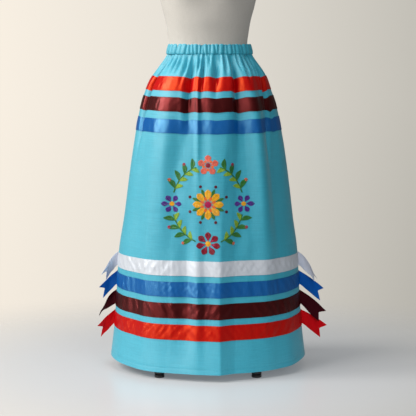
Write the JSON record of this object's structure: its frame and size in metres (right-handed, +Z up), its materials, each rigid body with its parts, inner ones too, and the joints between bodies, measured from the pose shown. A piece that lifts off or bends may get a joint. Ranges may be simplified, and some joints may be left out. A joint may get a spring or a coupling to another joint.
{
  "type": "ribbon skirt on a limbless dress form",
  "caption": "Long gathered cotton skirt with satin ribbon bands and loose ribbon ends at the sides, worn on a limbless dress form with a star base.",
  "frame": {"origin": "on the floor, at the centre of the underside of the whole object's box. The pole stands 13 mm to the left of it, because the loose ribbon ends reach further on the right", "axes": "+Z up, the skirt's front faces -Y, +X is to the right of someone facing the front"},
  "size_m": [0.6727, 0.5157, 1.3903],
  "materials": {
    "cotton_turquoise": "matte plain-weave cotton",
    "satin_red": "satin ribbon",
    "satin_maroon": "satin ribbon",
    "satin_blue": "satin ribbon",
    "satin_white": "satin ribbon",
    "linen_cover": "matte linen over a padded form",
    "black_iron": "satin black enamel"
  },
  "bodies": {
    "root": {"form_armhole_plate_left": "black_iron", "form_armhole_plate_right": "black_iron", "form_neck_cap": "black_iron", "form_torso": "linen_cover", "ribbon_lower_blue_back": "satin_blue", "ribbon_lower_blue_front": "satin_blue", "ribbon_lower_maroon_back": "satin_maroon", "ribbon_lower_maroon_front": "satin_maroon", "ribbon_lower_red_back": "satin_red", "ribbon_lower_red_front": "satin_red", "ribbon_lower_white_back": "satin_white", "ribbon_lower_white_front": "satin_white", "ribbon_upper_blue_back": "satin_blue", "ribbon_upper_blue_front": "satin_blue", "ribbon_upper_maroon_back": "satin_maroon", "ribbon_upper_maroon_front": "satin_maroon", "ribbon_upper_red_back": "satin_red", "ribbon_upper_red_front": "satin_red", "skirt_back": "cotton_turquoise", "skirt_front": "cotton_turquoise", "stand_collar": "black_iron", "stand_foot_1": "black_iron", "stand_foot_2": "black_iron", "stand_foot_3": "black_iron", "stand_foot_4": "black_iron", "stand_foot_5": "black_iron", "stand_hub": "black_iron", "stand_leg_1": "black_iron", "stand_leg_2": "black_iron", "stand_leg_3": "black_iron", "stand_leg_4": "black_iron", "stand_leg_5": "black_iron", "stand_pole": "black_iron", "tail_lower_blue_left": "satin_blue", "tail_lower_blue_right": "satin_blue", "tail_lower_maroon_left": "satin_maroon", "tail_lower_maroon_right": "satin_maroon", "tail_lower_red_left": "satin_red", "tail_lower_red_right": "satin_red", "tail_lower_white_left": "satin_white", "tail_lower_white_right": "satin_white", "waistband": "cotton_turquoise"}
  },
  "joints": []
}
